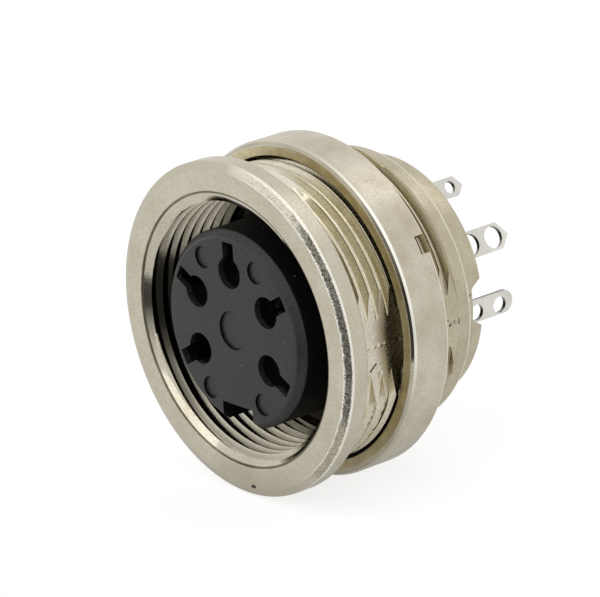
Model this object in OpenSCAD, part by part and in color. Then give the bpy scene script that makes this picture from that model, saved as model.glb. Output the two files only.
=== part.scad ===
// Round panel receptacle with a keyed five-way socket insert, solder tags and a slotted ring nut.
// The mating axis runs along Y. The mouth faces -Y and the solder tags face +Y.
// The origin is on the axis, in the plane where the flange rests on the panel.
// Clock angles are counted from +Z towards +X, as seen from the mouth.

/* [Flange] */
// Overhang of the flange beyond the outside thread
flange_lip = 1; // [0.6:0.1:3]
// Thickness of the flange
flange_t = 1.5; // [1:0.1:3]
// Radial width of the front chamfer
flange_chamfer_w = 0.45; // [0.1:0.05:0.8]
// Axial depth of the front chamfer
flange_chamfer_h = 0.25; // [0.1:0.05:0.6]
// Radial lead-in from the inside thread to the mouth
mouth_lead = 0.2; // [0.05:0.05:0.5]
// Height of the land that centres the flange in the panel
seat_h = 0.15; // [0.05:0.05:0.5]
// Height of the land over the thread crests
seat_step = 0.03; // [0.01:0.01:0.1]

/* [Panel thread] */
// Major diameter of the outside thread
thread_d = 18; // [16:0.5:20]
// Pitch of the outside and inside threads
thread_pitch = 0.75; // [0.5:0.25:1]
// Depth of the outside thread
thread_depth = 0.46; // [0.3:0.01:0.6]
// First crest behind the panel plane
thread_first = 1.7; // [1:0.05:3]
// Depth of the two flats below the crests
flat_depth = 0.6; // [0.2:0.1:0.8]

/* [Rear of shell] */
// Step from the thread crests down to the plain neck
neck_step = 0.5; // [0.3:0.1:1.2]
// Length of the neck with its chamfer
neck_l = 1.55; // [1:0.05:3]
// Step from the neck down to the rear collar
collar_step = 1; // [0.4:0.05:1.2]
// Length of the rear collar
collar_l = 1.9; // [1:0.1:3]
// Wall of the rear collar
collar_wall = 0.8; // [0.5:0.05:1]
// Length of the collar behind the retaining groove
collar_rim = 1.5; // [1:0.05:3]
// Width of the collar notches at the rim
notch_top = 3.1; // [1:0.1:5]
// Width of the collar notches at their floor
notch_floor = 1.9; // [0.5:0.1:4]
// Depth of the collar notches
notch_depth = 0.95; // [0.2:0.05:2]
// Width of the key slot in the rear bore
key_w = 1.2; // [0.6:0.1:2]
// Depth of the key slot and the retaining groove
groove_depth = 0.3; // [0.2:0.05:0.4]

/* [Coupling thread] */
// Wall from the inside thread out to the thread crests
shell_wall = 1; // [0.9:0.05:2]
// Depth of the inside thread
coupling_depth = 0.41; // [0.2:0.01:0.6]
// First groove of the inside thread behind the front face
coupling_lead = 1.05; // [0.9:0.05:2]
// Plain length between the inside thread and the web
coupling_runout = 0.85; // [0.4:0.05:2]
// Front of the web that stops the insert
web_y = 5.2; // [4:0.1:7]
// Thickness of the web
web_t = 1; // [0.5:0.1:2]
// Radial clearance of the socket post in the web
web_gap = 0.13; // [0.05:0.01:0.3]

/* [Ring nut] */
// How far the nut stands out past the flange
nut_proud = 0.1; // [0:0.05:2]
// Thickness of the nut
nut_t = 2.7; // [1.5:0.1:4]
// Front face of the nut behind the panel plane
nut_y = 3.35; // [0.1:0.05:7]
// Radial width of the front edge chamfer
nut_chamfer_w = 0.3; // [0.05:0.05:0.6]
// Axial depth of the front edge chamfer
nut_chamfer_h = 0.22; // [0.05:0.01:0.6]
// Lead-in at the nut's bore
nut_lead = 0.15; // [0.1:0.05:0.8]
// Width of the two spanner slots
nut_slot_w = 1.1; // [0.6:0.1:2]
// Depth of the spanner slots
nut_slot_h = 0.72; // [0.3:0.01:1.5]
// Clock angle of the first spanner slot
nut_slot_at = 59; // [0:1:180]
// Radial clearance of the nut on the thread crests
nut_gap = 0.05; // [0.02:0.01:0.1]

/* [Insulators] */
// Radial room for the plug between the socket post and the inside thread
plug_room = 2.03; // [1.5:0.01:3]
// Chamfer on the post's front edge
post_chamfer = 0.45; // [0.1:0.05:0.8]
// Thickness of the insert's rear flange
insert_flange_t = 1.5; // [0.8:0.1:3]
// Thickness of the contact carrier
carrier_t = 1.5; // [0.8:0.1:3]
// Width of the polarising keyway
keyway_w = 2.8; // [1:0.1:4]
// Depth of the keyway
keyway_depth = 1.47; // [0.5:0.01:2]
// Radial clearance of the sleeves in their cavities
cavity_gap = 0.08; // [0.03:0.01:0.2]
// Width of the slot that opens each cavity outwards
cavity_slot_w = 1.1; // [0.6:0.1:1.6]
// Wall between the cavity slots and the post's side
cavity_slot_wall = 0.57; // [0.4:0.01:1]
// Diameter of the four shallow moulding marks
mark_d = 1.38; // [0.8:0.02:2]
// Distance of the moulding marks from the post's side
mark_edge = 1.37; // [1:0.01:2]
// Diameter of the shallow mark at the centre
centre_mark_d = 2.38; // [1:0.02:3]
// Depth of the shallow marks
mark_h = 0.12; // [0.05:0.01:0.3]
// Radial clearance of the insulators in the shell
insulator_gap = 0.05; // [0.02:0.01:0.1]

/* [Contacts] */
// Distance of the contacts from the post's side
contact_edge = 2.47; // [2:0.01:3]
// Outside diameter of the socket sleeve
sleeve_d = 1.9; // [1.4:0.02:2]
// Bore of the socket sleeve
socket_d = 1.04; // [0.9:0.01:1.2]
// Depth of the sleeve's front end behind the front face
sleeve_recess = 1.5; // [0.5:0.1:3]
// Depth of the socket bore
socket_depth = 6; // [3:0.1:7]
// Width of the sleeve's rolled seam
seam_w = 0.2; // [0.1:0.05:0.4]
// Step from the sleeve to the shoulder that the carrier traps
shoulder_step = 0.3; // [0.1:0.05:0.5]
// Thickness of the shoulder
shoulder_t = 0.7; // [0.3:0.1:1.2]
// Clearance round the shoulder
shoulder_gap = 0.03; // [0.01:0.01:0.1]
// Offset of the tag's mid-plane outwards from the sleeve's axis
tag_offset = 0.8; // [0.4:0.05:0.9]
// Thickness of the tags
tag_t = 0.25; // [0.15:0.05:0.6]
// Diameter of the neck where a tag is twisted
tag_neck_d = 0.8; // [0.4:0.05:0.85]
// Share of its width over which a pointed tag's end is cut
tag_cut = 0.42; // [0.2:0.02:0.6]
// Sideways place of the point as a share of the tag's width
tag_point = 0.05; // [-0.4:0.05:0.4]
// Reach of each tag's tip behind the carrier
tag_reach = [7.58, 7.58, 7.78, 7.58, 7.6];
// Tags cut to a blunt point, the others end round
tag_pointed = [true, true, false, true, false];
// Distance between the two eyelets of a tag
eyelet_step = 1.85; // [1.6:0.05:3]
// Width of each tag
tag_w = [1.2, 1.64, 1.4, 1.6, 1.5];
// Wall beside each tag's eyelets
eyelet_wall = [0.22, 0.15, 0.2, 0.15, 0.2];
// Place of each tag's outer eyelet behind the carrier
eyelet_reach = [6.6, 6.4, 6.72, 6.45, 6.6];
// Sideways offset of each tag's eyelets
eyelet_side = [0, 0, 0.1, 0, 0];
// Sideways offset of each tag on its neck
tag_side = [0, 0.15, 0, 0, 0];
// Twist of each tag about its own length
tag_twist = [60, 6, -30, 6, -8];
// Clearance beside each tag in its carrier hole
tag_gap = 0.075; // [0.05:0.005:0.2]

/* [Retaining ring] */
// Diameter of the ring's wire
ring_wire_d = 0.6; // [0.4:0.05:0.8]
// Play of the wire along its groove
ring_play = 0.05; // [0.02:0.01:0.1]
// Clearance of the ring from the groove's floor
ring_gap = 0.02; // [0.01:0.01:0.05]
// Opening of the ring in degrees
ring_open = 36; // [10:1:60]

/* [Hidden] */
$fn = 96;
edge_break = 0.12;
rim_break = 0.2;
neck_break = 0.18;
mould_break = 0.25;
relief_h = 0.25;
nut_break = 0.1;
nut_rear_lead = 0.25;
notch_flare = 0.06;
key_root = 0.6;
skin = 0.01;
over = 1;
thread_r = thread_d / 2;
root_r = thread_r - thread_depth;
flank = thread_depth * tan(30);
crest_half = thread_pitch / 16;
seat_r = thread_r + seat_step;
flange_r = thread_r + flange_lip;
nut_r = flange_r + nut_proud;
flat_x = thread_r - flat_depth;
neck_r = thread_r - neck_step;
collar_r = neck_r - collar_step;
rear_bore_r = collar_r - collar_wall;
groove_r = rear_bore_r + groove_depth;
insulator_r = rear_bore_r - insulator_gap;
coupling_r = thread_r - shell_wall;
coupling_minor_r = coupling_r - coupling_depth;
coupling_flank = coupling_depth * tan(30);
coupling_half = thread_pitch / 16;
mouth_r = coupling_r + mouth_lead;
post_r = coupling_r - plug_room;
web_r = post_r + web_gap;
keyway_floor = post_r - keyway_depth;
contact_r = post_r - contact_edge;
tag_r = contact_r + tag_offset;
mark_r = post_r - mark_edge;
cavity_slot_r = post_r - cavity_slot_wall;
cavity_d = sleeve_d + 2 * cavity_gap;
shoulder_d = sleeve_d + 2 * shoulder_step;
tag_hole_d = max(tag_w) + 2 * max(tag_side) + 2 * tag_gap;
sleeve_y = sleeve_recess - flange_t;
insert_y = web_y + web_t;
carrier_y = insert_y + insert_flange_t;
ring_y = carrier_y + carrier_t;
groove_w = ring_wire_d + ring_play;
collar_end = ring_y + groove_w + collar_rim;
neck_end = collar_end - collar_l;
thread_end = neck_end - neck_l;
thread_crests = floor((thread_end - thread_first - crest_half - skin) / thread_pitch) + 1;
coupling_first = coupling_lead - flange_t;
coupling_grooves = floor((web_y - coupling_runout - coupling_first) / thread_pitch) + 1;
contact_places = 6;
contact_at = [for (k = [0, 1, 2, 4, 5]) k * 360 / contact_places];
mark_at = [for (k = [0, 2, 3, 5]) (k + 0.5) * 360 / contact_places];

// Outside of the shell from the flange to the collar, as radius and place along the axis.
thread_points = [
    for (k = [0 : thread_crests - 1])
        let (c = thread_first + k * thread_pitch)
            each [
                [root_r, c - crest_half - flank],
                [thread_r, c - crest_half],
                [thread_r, c + crest_half],
                [root_r, c + crest_half + flank]
            ]
];
thread_profile = [for (i = [0 : len(thread_points) - 2]) thread_points[i]];
outside = concat(
    [
        [mouth_r, -flange_t],
        [flange_r - flange_chamfer_w, -flange_t],
        [flange_r, -flange_t + flange_chamfer_h],
        [flange_r, -edge_break],
        [flange_r - edge_break, 0],
        [seat_r, 0],
        [seat_r, seat_h],
        [root_r, seat_h + relief_h]
    ],
    thread_profile,
    [
        [thread_r, thread_end],
        [neck_r, thread_end + neck_step],
        [neck_r, neck_end - neck_break],
        [neck_r - neck_break, neck_end],
        [collar_r, neck_end],
        [collar_r, collar_end - rim_break],
        [collar_r - rim_break, collar_end]
    ]
);

// Inside of the shell from the rear rim to the mouth.
coupling_points = [
    for (k = [coupling_grooves - 1 : -1 : 0])
        let (c = coupling_first + k * thread_pitch)
            each [
                [coupling_minor_r, c + coupling_half + coupling_flank],
                [coupling_r, c + coupling_half],
                [coupling_r, c - coupling_half],
                [coupling_minor_r, c - coupling_half - coupling_flank]
            ]
];
inside = concat(
    [
        [rear_bore_r + rim_break, collar_end],
        [rear_bore_r, collar_end - rim_break],
        [rear_bore_r, ring_y + groove_w],
        [groove_r, ring_y + groove_w],
        [groove_r, ring_y],
        [rear_bore_r, ring_y],
        [rear_bore_r, insert_y],
        [web_r, insert_y],
        [web_r, web_y],
        [coupling_minor_r, web_y]
    ],
    coupling_points,
    [[coupling_minor_r, -flange_t + mouth_r - coupling_minor_r]]
);

// Turns a profile of radius and height about the mating axis.
module turned(profile) {
    rotate([-90, 0, 0])
        rotate_extrude()
            polygon(profile);
}

// Round bar along the mating axis.
module bar(d, y0, y1) {
    translate([0, y0, 0])
        rotate([-90, 0, 0])
            cylinder(d = d, h = y1 - y0);
}

// Puts a piece at a clock angle about the mating axis.
module clock(a) {
    rotate([0, a, 0])
        children();
}

// Tapered notch in the rear rim.
module rim_notch() {
    translate([collar_r - 2 * collar_wall, collar_end, 0])
        rotate([0, 90, 0])
            linear_extrude(height = 4 * collar_wall)
                polygon([
                    [-notch_top / 2 - notch_flare, notch_flare],
                    [-notch_top / 2, 0],
                    [-notch_floor / 2, -notch_depth],
                    [notch_floor / 2, -notch_depth],
                    [notch_top / 2, 0],
                    [notch_top / 2 + notch_flare, notch_flare]
                ]);
}

module shell() {
    color([0.78, 0.75, 0.67])
    difference() {
        turned(concat(outside, inside));
        for (side = [0, 180])
            clock(side)
                translate([flat_x, seat_h, -thread_d / 2])
                    cube([thread_d, thread_end + neck_step - seat_h, thread_d]);
        for (side = [0, 180])
            clock(side)
                rim_notch();
        translate([-key_w / 2 - insulator_gap, insert_y, 0])
            cube([key_w + 2 * insulator_gap, collar_end - insert_y + over, groove_r]);
    }
}

module ring_nut() {
    bore_r = thread_r + nut_gap;
    nut_end = nut_y + nut_t;
    color([0.76, 0.73, 0.66])
    difference() {
        turned([
            [bore_r, nut_y + nut_lead],
            [bore_r + nut_lead, nut_y],
            [nut_r - nut_chamfer_w, nut_y],
            [nut_r, nut_y + nut_chamfer_h],
            [nut_r, nut_end - nut_break],
            [nut_r - nut_break, nut_end],
            [bore_r + nut_rear_lead, nut_end],
            [bore_r, nut_end - nut_rear_lead]
        ]);
        for (turn = [0, 180])
            clock(nut_slot_at + turn)
                translate([-nut_slot_w / 2, nut_end - nut_slot_h, 0])
                    cube([nut_slot_w, nut_slot_h + over, nut_r + over]);
    }
}

// Key that stops an insulator from turning in the shell.
module key_rib(y0, y1) {
    translate([-key_w / 2, y0, insulator_r - key_root])
        cube([key_w, y1 - y0, groove_r - insulator_gap - insulator_r + key_root]);
}

module socket_insert() {
    color([0.1, 0.1, 0.11])
    difference() {
        union() {
            turned([
                [0, -flange_t],
                [post_r - post_chamfer, -flange_t],
                [post_r, -flange_t + post_chamfer],
                [post_r, insert_y],
                [insulator_r, insert_y],
                [insulator_r, carrier_y],
                [0, carrier_y]
            ]);
            key_rib(insert_y, carrier_y);
        }
        translate([-keyway_w / 2, -flange_t - over, -post_r - over])
            cube([keyway_w, insert_y + flange_t + over, keyway_depth + over]);
        for (a = contact_at)
            clock(a) {
                translate([0, 0, contact_r])
                    bar(cavity_d, -flange_t - over, carrier_y + over);
                translate([-cavity_slot_w / 2, -flange_t - over, contact_r])
                    cube([cavity_slot_w, insert_y + flange_t + over, cavity_slot_r - contact_r]);
                translate([0, 0, contact_r])
                    bar(shoulder_d + 2 * shoulder_gap, carrier_y - shoulder_t, carrier_y + over);
            }
        for (a = mark_at)
            clock(a)
                translate([0, 0, mark_r])
                    bar(mark_d, -flange_t - over, -flange_t + mark_h);
        bar(centre_mark_d, -flange_t - over, -flange_t + mark_h);
    }
}

module contact_carrier() {
    color([0.12, 0.12, 0.13])
    difference() {
        union() {
            turned([
                [0, carrier_y],
                [insulator_r, carrier_y],
                [insulator_r, ring_y - mould_break],
                [insulator_r - mould_break, ring_y],
                [0, ring_y]
            ]);
            key_rib(carrier_y, ring_y - mould_break);
        }
        for (a = contact_at)
            clock(a)
                translate([0, 0, tag_r])
                    bar(tag_hole_d, carrier_y - over, ring_y + over);
    }
}

module retaining_ring() {
    color([0.6, 0.6, 0.62])
    translate([0, ring_y + ring_wire_d / 2 + skin, 0])
        rotate([-90, 0, 0])
            rotate([0, 0, -90 + ring_open / 2])
                rotate_extrude(angle = 360 - ring_open)
                    translate([groove_r - ring_wire_d / 2 - ring_gap, 0])
                        circle(d = ring_wire_d);
}

// Flat solder tag with two eyelets, lying along the axis at its own twist on a round neck.
module solder_tag(i) {
    w = tag_w[i];
    eyelet_d = w - 2 * eyelet_wall[i];
    eyelet_y = ring_y + eyelet_reach[i];
    tag_y = carrier_y + skin;
    tag_end = ring_y + tag_reach[i];
    cut_y = tag_end - tag_cut * w;
    translate([0, 0, tag_r])
        bar(tag_neck_d, carrier_y - shoulder_t / 2, tag_y + tag_neck_d);
    translate([0, 0, tag_r])
        rotate([0, tag_twist[i], 0])
            translate([tag_side[i], 0, -tag_t / 2])
                linear_extrude(height = tag_t)
                    difference() {
                        if (tag_pointed[i])
                            polygon([
                                [-w / 2, tag_y],
                                [w / 2, tag_y],
                                [w / 2, cut_y],
                                [tag_point * w, tag_end],
                                [-w / 2, cut_y]
                            ]);
                        else
                            union() {
                                translate([-w / 2, tag_y])
                                    square([w, tag_end - w / 2 - tag_y]);
                                translate([0, tag_end - w / 2])
                                    circle(d = w);
                            }
                        for (y = [eyelet_y, eyelet_y - eyelet_step])
                            translate([eyelet_side[i], y])
                                circle(d = eyelet_d);
                    }
}

// One contact, rolled and stamped from strip: socket sleeve, shoulder and solder tag.
module contact(i) {
    color([0.82, 0.81, 0.78])
    clock(contact_at[i - 1])
        difference() {
            union() {
                translate([0, 0, contact_r])
                    bar(sleeve_d, sleeve_y, carrier_y - skin);
                translate([0, 0, contact_r])
                    bar(shoulder_d, carrier_y - shoulder_t + skin, carrier_y - skin);
                solder_tag(i - 1);
            }
            translate([0, 0, contact_r])
                bar(socket_d, sleeve_y - over, sleeve_y + socket_depth);
            translate([-seam_w / 2, sleeve_y - over, contact_r - sleeve_d])
                cube([seam_w, socket_depth + over, sleeve_d]);
        }
}

module contact_1() {
    contact(1);
}

module contact_2() {
    contact(2);
}

module contact_3() {
    contact(3);
}

module contact_4() {
    contact(4);
}

module contact_5() {
    contact(5);
}

shell();
ring_nut();
socket_insert();
contact_carrier();
retaining_ring();
contact_1();
contact_2();
contact_3();
contact_4();
contact_5();
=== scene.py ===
"""Round panel receptacle: plated shell, ring nut, keyed socket insert and solder tags."""
import math

import bmesh
import bpy
from mathutils import Matrix, Vector, noise


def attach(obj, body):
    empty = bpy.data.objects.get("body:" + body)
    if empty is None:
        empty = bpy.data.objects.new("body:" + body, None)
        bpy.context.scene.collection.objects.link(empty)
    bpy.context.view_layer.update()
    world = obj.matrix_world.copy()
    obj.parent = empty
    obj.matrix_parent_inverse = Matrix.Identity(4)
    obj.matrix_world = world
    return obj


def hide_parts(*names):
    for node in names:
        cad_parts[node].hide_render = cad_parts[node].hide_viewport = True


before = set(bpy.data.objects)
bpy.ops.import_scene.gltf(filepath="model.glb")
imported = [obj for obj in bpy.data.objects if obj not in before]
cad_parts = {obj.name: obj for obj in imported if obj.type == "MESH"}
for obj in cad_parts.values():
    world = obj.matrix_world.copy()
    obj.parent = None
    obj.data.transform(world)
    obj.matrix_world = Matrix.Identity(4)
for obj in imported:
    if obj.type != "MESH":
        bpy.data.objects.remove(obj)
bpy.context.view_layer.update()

MM = 0.001

# Shell, in millimetres from the panel plane along the mating axis
COLUMNS = 360
FACE_Y = -1.5
FLANGE_R = 10.0
RELIEF_R = 9.03
PANEL_PITCH = 0.775
COUPLING_PITCH = 0.75
CREST_R = 9.0
ROOT_R = 8.54
THREAD_START = 0.45
THREAD_END = 7.98
THREAD_MARGIN = 0.001
CREST_AT = 1.72
CREST_CLOCK = 60.0
FIRST_TURN = -1.125
PANEL_TURNS = range(-2, 10)
FLAT_X = 8.4
FLAT_START = 0.152
FLAT_END = 8.5
FLAT_REAR = 5.5
RUN_OUT_START = 7.68
RUN_OUT_SLOPE = 0.8
NECK_R = 8.4
MINOR_R = 7.59
COUPLING_R = 8.0
COUPLING_TURNS = range(7, -3, -1)
MOUTH_R = 8.22
TORN_LIP_R = MOUTH_R + 0.01
CAST_LIP = (9.50, 9.55)
COUPLING_START = -1.4
COUPLING_END = 4.62
LEAD_IN_DEPTH = 0.9
GROOVE_AT = -0.45
WEB_Y = 5.2
WEB_BORE_R = 6.1
REAR_BORE_R = 6.7
COLLAR_R = 7.5
COLLAR_END = 11.35
NOTCH = [(-1.61, 0.06), (-1.55, 0.0), (-1.05, -0.82), (-0.9, -0.95),
         (0.9, -0.95), (1.05, -0.82), (1.55, 0.0), (1.61, 0.06)]
KEY_SLOT = [(-0.65, 5.0), (-0.65, 7.0), (0.65, 7.0), (0.65, 5.0)]
FLASH_HALF_WIDTH = 0.45
FLASH_LUMPS = ((7.84, -0.09), (8.23, -0.12))

# Wear, painted shade and painted highlights as start, rise, end and fall: clock angles, places or
# turns of the thread
SMEARED_THREAD = (106, 12, 172, 20)
BRIGHT_THREAD_TOP = (-60, 30, 34, 26)
FIRST_CUT = (-2.08, 0.07, -1.6, 0.1)
DARK_TURN = (6.0, 0.05, 6.36, 0.06)
FLATTER_LEAD_IN = (-68, 24, 48, 14)
SHADED_WALL = (234, 16, 306, 16)
CAST_CHAMFER = (18, 30, 140, 30)
NUT_BRIGHT_FRONT = (8, 40, 112, 24)
NUT_BRIGHT_REAR = (40, 20, 150, 20)

# Places along the outside thread where the smear and the painted highlight on the top end and the
# nut's painted shade begins
SMEAR_END = 2.9
BRIGHT_END = 3.3
BEHIND_NUT = 6.0

# Ring nut
NUT_R = 10.1
NUT_FRONT = 3.35
NUT_MIDDLE = 5.0
NUT_REAR = 6.05
NUT_BORE_R = 9.05
NUT_SHARP = 14
SLOT_CLOCK = 59.0
SLOT_W = 1.1
SLOT_H = 0.72

# Socket insert
POST_R = 5.97
POST_CHAMFER = 0.45
INSERT_R = 6.65
INSERT_Y = 6.2
CARRIER_Y = 7.7
CONTACT_R = 3.5
CAVITY_R = 1.03
POCKET_R = 1.28
CONTACT_CLOCKS = (0, 60, 120, 240, 300)
MARK_CLOCKS = (30, 150, 210, 330)
MARK_R = 0.69
MARK_CIRCLE_R = 4.6
CENTRE_MARK_R = 1.19

# Solder tags start behind this place
TAG_START = 12

# Zones of the shell, the nut and the insert, in the order of their materials
PLATED, CHAMFER, THREAD, MOUTH, REAR, EDGE, FLAT, NECK_HIGHLIGHT = range(8)
NUT_SIDE, NUT_LIP, NUT_FACE, NUT_POLISHED, NUT_HIGHLIGHT, NUT_INSIDE = range(6)
POST_FACE, POST_DEEP, POST_RIM = range(3)

# Welding and cleaning of meshes, in metres
WELD = 6e-7
SLIVER = 3e-7
FLAT_SLIVER = 2e-7
ON_PLANE = 1e-8

# Angle in degrees above which an edge stays sharp
SHARP = 32

# Sockets of the mix and map range nodes, by number
MIX_SHARE, MIX_FIRST, MIX_SECOND, MIX_RESULT = 0, 6, 7, 2
MAP_VALUE, MAP_LOW, MAP_HIGH, MAP_TO_LOW, MAP_TO_HIGH = range(5)

# Scales of the plating's and the moulding's grain
FINE_GRAIN = 9000.0
MOULD_GRAIN = 5200.0
MOULD_CLOUD = 300.0
DUST_SCALE = 900.0

# Cast skin of the front chamfer, in metres: side of the mouth, then radius; last the heights over
# which the plain chamfer is painted lighter towards the top
CAST_SIDE_CLOCK = 76.0
CAST_DARK = (0.0079, 0.0085)
CAST_SKIN = (0.0028, 0.0052)
PITTED_FROM, PITTED_TO = (0.00957, 0.00962), (0.00997, 0.01001)
TORN_FROM, TORN_TO = (0.00952, 0.00955), (0.00963, 0.00968)
UPPER_SIDE = (-0.002, 0.003)

# Floor under the nut, with painted shadow in its reflection near the part, and the open front of
# the white tent
FLOOR_Z = -10.1
FLOOR_FRONT = -15.2
FLOOR_SIDE = 300
FLOOR_BACK = 500
FLOOR_SHOWN = 0.78
FLOOR_SHADE = (0.002, 0.014, 0.5, 0.84)
ROOM_LIGHT = 0.55
OPENING_TOP = Vector((0.8, 0.0, 1.0))
OPENING_EDGE = (0.2, 0.66, 0.93, 0.0)
OPENING_RIGHT = (-0.16, 0.04)
OPENING_FRONT = (-0.55, -0.35, 1.0, 0.0)

# Camera
CAMERA_AIM = Vector((0.23, 3.5, 0.675)) * MM
CAMERA_AZIMUTH = math.radians(49.759)
CAMERA_ELEVATION = math.radians(18.801)
CAMERA_ROLL = math.radians(-3.447)
CAMERA_DISTANCE = 0.250
CAMERA_LENS = 258.4


def on_clock(radius, along, clock):
    """Point at a clock angle, counted from +Z towards +X as seen from the mouth."""
    angle = math.radians(clock)
    return Vector((radius * math.sin(angle), along, radius * math.cos(angle))) * MM


def eased(t):
    """Smooth rise from 0 to 1."""
    t = min(max(t, 0.0), 1.0)
    return t * t * (3 - 2 * t)


def band(value, start, rise, end, fall):
    """Smooth rise after the start and smooth fall before the end."""
    return eased((value - start) / rise) * eased((end - value) / fall)


def signed(clock):
    """Clock angle between -180 and 180 degrees."""
    return (clock + 180) % 360 - 180


def rough(clock, along, grain, seed):
    """Repeatable roughness between -1 and 1 round the axis."""
    angle = math.radians(clock)
    place = Vector((math.sin(angle) * 10, along, math.cos(angle) * 10)) / grain
    return noise.noise(place + Vector((seed * 7.31, seed * 3.77, seed * 5.13)))


def rounded(corners, steps=3):
    """Profile with its corners rounded: each corner is radius, place, fillet and zone."""
    rows = []
    for i, (radius, along, fillet, zone) in enumerate(corners):
        here = Vector((radius, along))
        if fillet == 0 or i in (0, len(corners) - 1):
            rows.append((radius, along, zone))
            continue
        before = Vector(corners[i - 1][:2]) - here
        after = Vector(corners[i + 1][:2]) - here
        reach = min(fillet, before.length * 0.45, after.length * 0.45)
        start = here + before.normalized() * reach
        end = here + after.normalized() * reach
        for k in range(steps + 1):
            s = k / steps
            p = start * (1 - s) ** 2 + here * 2 * s * (1 - s) + end * s ** 2
            rows.append((p.x, p.y, zone))
    return rows


# One pitch of the outside thread as offset along the axis, height and painted light:
# above nothing painted shade, darkest just before the crest, below nothing a painted highlight on
# the crest
THREAD_FORM = [
    (-0.345, 0.0, 0.0), (-0.28, 0.04, 0.0), (-0.16, 0.55, 0.1), (-0.1, 0.82, 0.3),
    (-0.075, 0.93, 1.0), (-0.045, 1.0, -0.7), (0.045, 1.0, -0.5), (0.075, 0.93, 0.0),
    (0.16, 0.55, 0.3), (0.28, 0.04, 0.1), (0.345, 0.0, 0.0),
]

# One pitch of the coupling thread as offset and depth
COUPLING_FORM = [(-0.33, 0.0), (-0.17, 0.53), (-0.03, 1.0),
                 (0.03, 1.0), (0.17, 0.53), (0.33, 0.0)]

# Corners of the shell as radius, place, fillet and zone, before and behind its outside thread
SHELL_FRONT = rounded([
    (MOUTH_R - 0.09, FACE_Y + 0.09, 0, EDGE),
    (MOUTH_R - 0.04, FACE_Y + 0.05, 0, EDGE),
    (TORN_LIP_R, FACE_Y + 0.06, 0, EDGE),
    (MOUTH_R + 0.06, FACE_Y, 0.02, PLATED),
    (8.9, FACE_Y, 0, PLATED),
    (9.48, FACE_Y, 0, PLATED),
    (CAST_LIP[0], FACE_Y, 0, CHAMFER),
    (CAST_LIP[1], FACE_Y + 0.01, 0, CHAMFER),
    (9.66, -1.439, 0, CHAMFER),
    (9.78, -1.372, 0, CHAMFER),
    (9.90, -1.306, 0, CHAMFER),
    (FLANGE_R, -1.25, 0.04, CHAMFER),
    (FLANGE_R, -1.1, 0, PLATED),
    (FLANGE_R, -0.12, 0.06, PLATED),
    (9.88, 0, 0.06, PLATED),
    (RELIEF_R, 0, 0.04, PLATED),
    (RELIEF_R, 0.15, 0, FLAT),
    (RELIEF_R, FLAT_START, 0, FLAT),
    (CREST_R, 0.2, 0, FLAT),
    (CREST_R, THREAD_START, 0, THREAD),
])
SHELL_REAR = rounded([
    (CREST_R - RUN_OUT_SLOPE * (THREAD_END - RUN_OUT_START), THREAD_END, 0, REAR),
    (NECK_R + 0.03, 8.41, 0, REAR),
    (NECK_R, 8.48, 0, REAR),
    (NECK_R, 8.52, 0, REAR),
    (NECK_R, 9.32, 0.06, NECK_HIGHLIGHT),
    (8.3, 9.45, 0.04, REAR),
    (COLLAR_R, 9.45, 0.06, REAR),
    (COLLAR_R, 10.2, 0, REAR),
    (COLLAR_R, 11.15, 0.08, REAR),
    (7.3, COLLAR_END, 0.08, REAR),
    (6.9, COLLAR_END, 0.05, REAR),
    (REAR_BORE_R, 11.15, 0.05, REAR),
    (REAR_BORE_R, 9.85, 0, REAR),
    (7.0, 9.85, 0, REAR),
    (7.0, 9.2, 0, REAR),
    (REAR_BORE_R, 9.2, 0, REAR),
    (REAR_BORE_R, INSERT_Y, 0, REAR),
    (WEB_BORE_R, INSERT_Y, 0.05, EDGE),
    (WEB_BORE_R, WEB_Y, 0.1, EDGE),
    (MINOR_R, WEB_Y, 0.15, EDGE),
    (MINOR_R, 4.64, 0, MOUTH),
])


def panel_thread_rows(clock):
    """Outside thread at one clock angle, from beside the flange to its run-out at the neck."""
    rows = []
    smeared = band(clock, *SMEARED_THREAD)
    bright_top = 0.5 * band(signed(clock), *BRIGHT_THREAD_TOP)
    for turn in PANEL_TURNS:
        ahead = turn + (clock - CREST_CLOCK) / 360
        for offset, height, painted_light_value in THREAD_FORM:
            along = CREST_AT + PANEL_PITCH * ahead + offset
            along = min(max(along, THREAD_START + THREAD_MARGIN), THREAD_END - THREAD_MARGIN)
            wound = ahead - (offset < 0)
            first_cut = 0.9 * band(wound, *FIRST_CUT)
            rise = max(eased((wound - FIRST_TURN) / 0.05), first_cut)
            run_out = eased((THREAD_END - along) / 0.12)
            depth = (1 - height) * run_out * rise * (1 - 0.5 * smeared)
            wobble = 0.006 * rough(clock, along, 1.3, 1) * rise * run_out
            # Painted shade and painted highlights from the thread form, weaker where the thread is
            # smeared
            thread_light_and_pits = painted_light_value * rise * run_out * (1 - 0.85 * smeared)
            # Behind the nut the painted highlights dim and the grooves get painted shade; the
            # first partial groove is darkened in its depth
            behind_nut = eased((along - BEHIND_NUT) / 0.3)
            if painted_light_value < 0:
                thread_light_and_pits += (0.25 - thread_light_and_pits) * behind_nut
            else:
                thread_light_and_pits = max(thread_light_and_pits, 0.85 * depth * behind_nut, 0.9 * depth * first_cut)
            # Painted shadow of the nut's rear edge on the turn just behind it
            thread_light_and_pits = max(thread_light_and_pits, 0.95 * band(along, *DARK_TURN))
            # Real dark pits on the smeared crests
            if height > 0.9 and along < SMEAR_END:
                flecks = eased((rough(clock, along, 0.2, 9) - 0.12) / 0.12)
                thread_light_and_pits = max(thread_light_and_pits, smeared * flecks)
            # Painted highlight on the thread's upper side, ending before the nut
            thread_light_and_pits -= bright_top * eased((BRIGHT_END - along) / 0.3)
            radius = CREST_R - (CREST_R - ROOT_R) * depth + wobble
            cone = CREST_R - RUN_OUT_SLOPE * (along - RUN_OUT_START)
            rows.append((min(radius, cone), along, thread_light_and_pits))
    return rows


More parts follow.
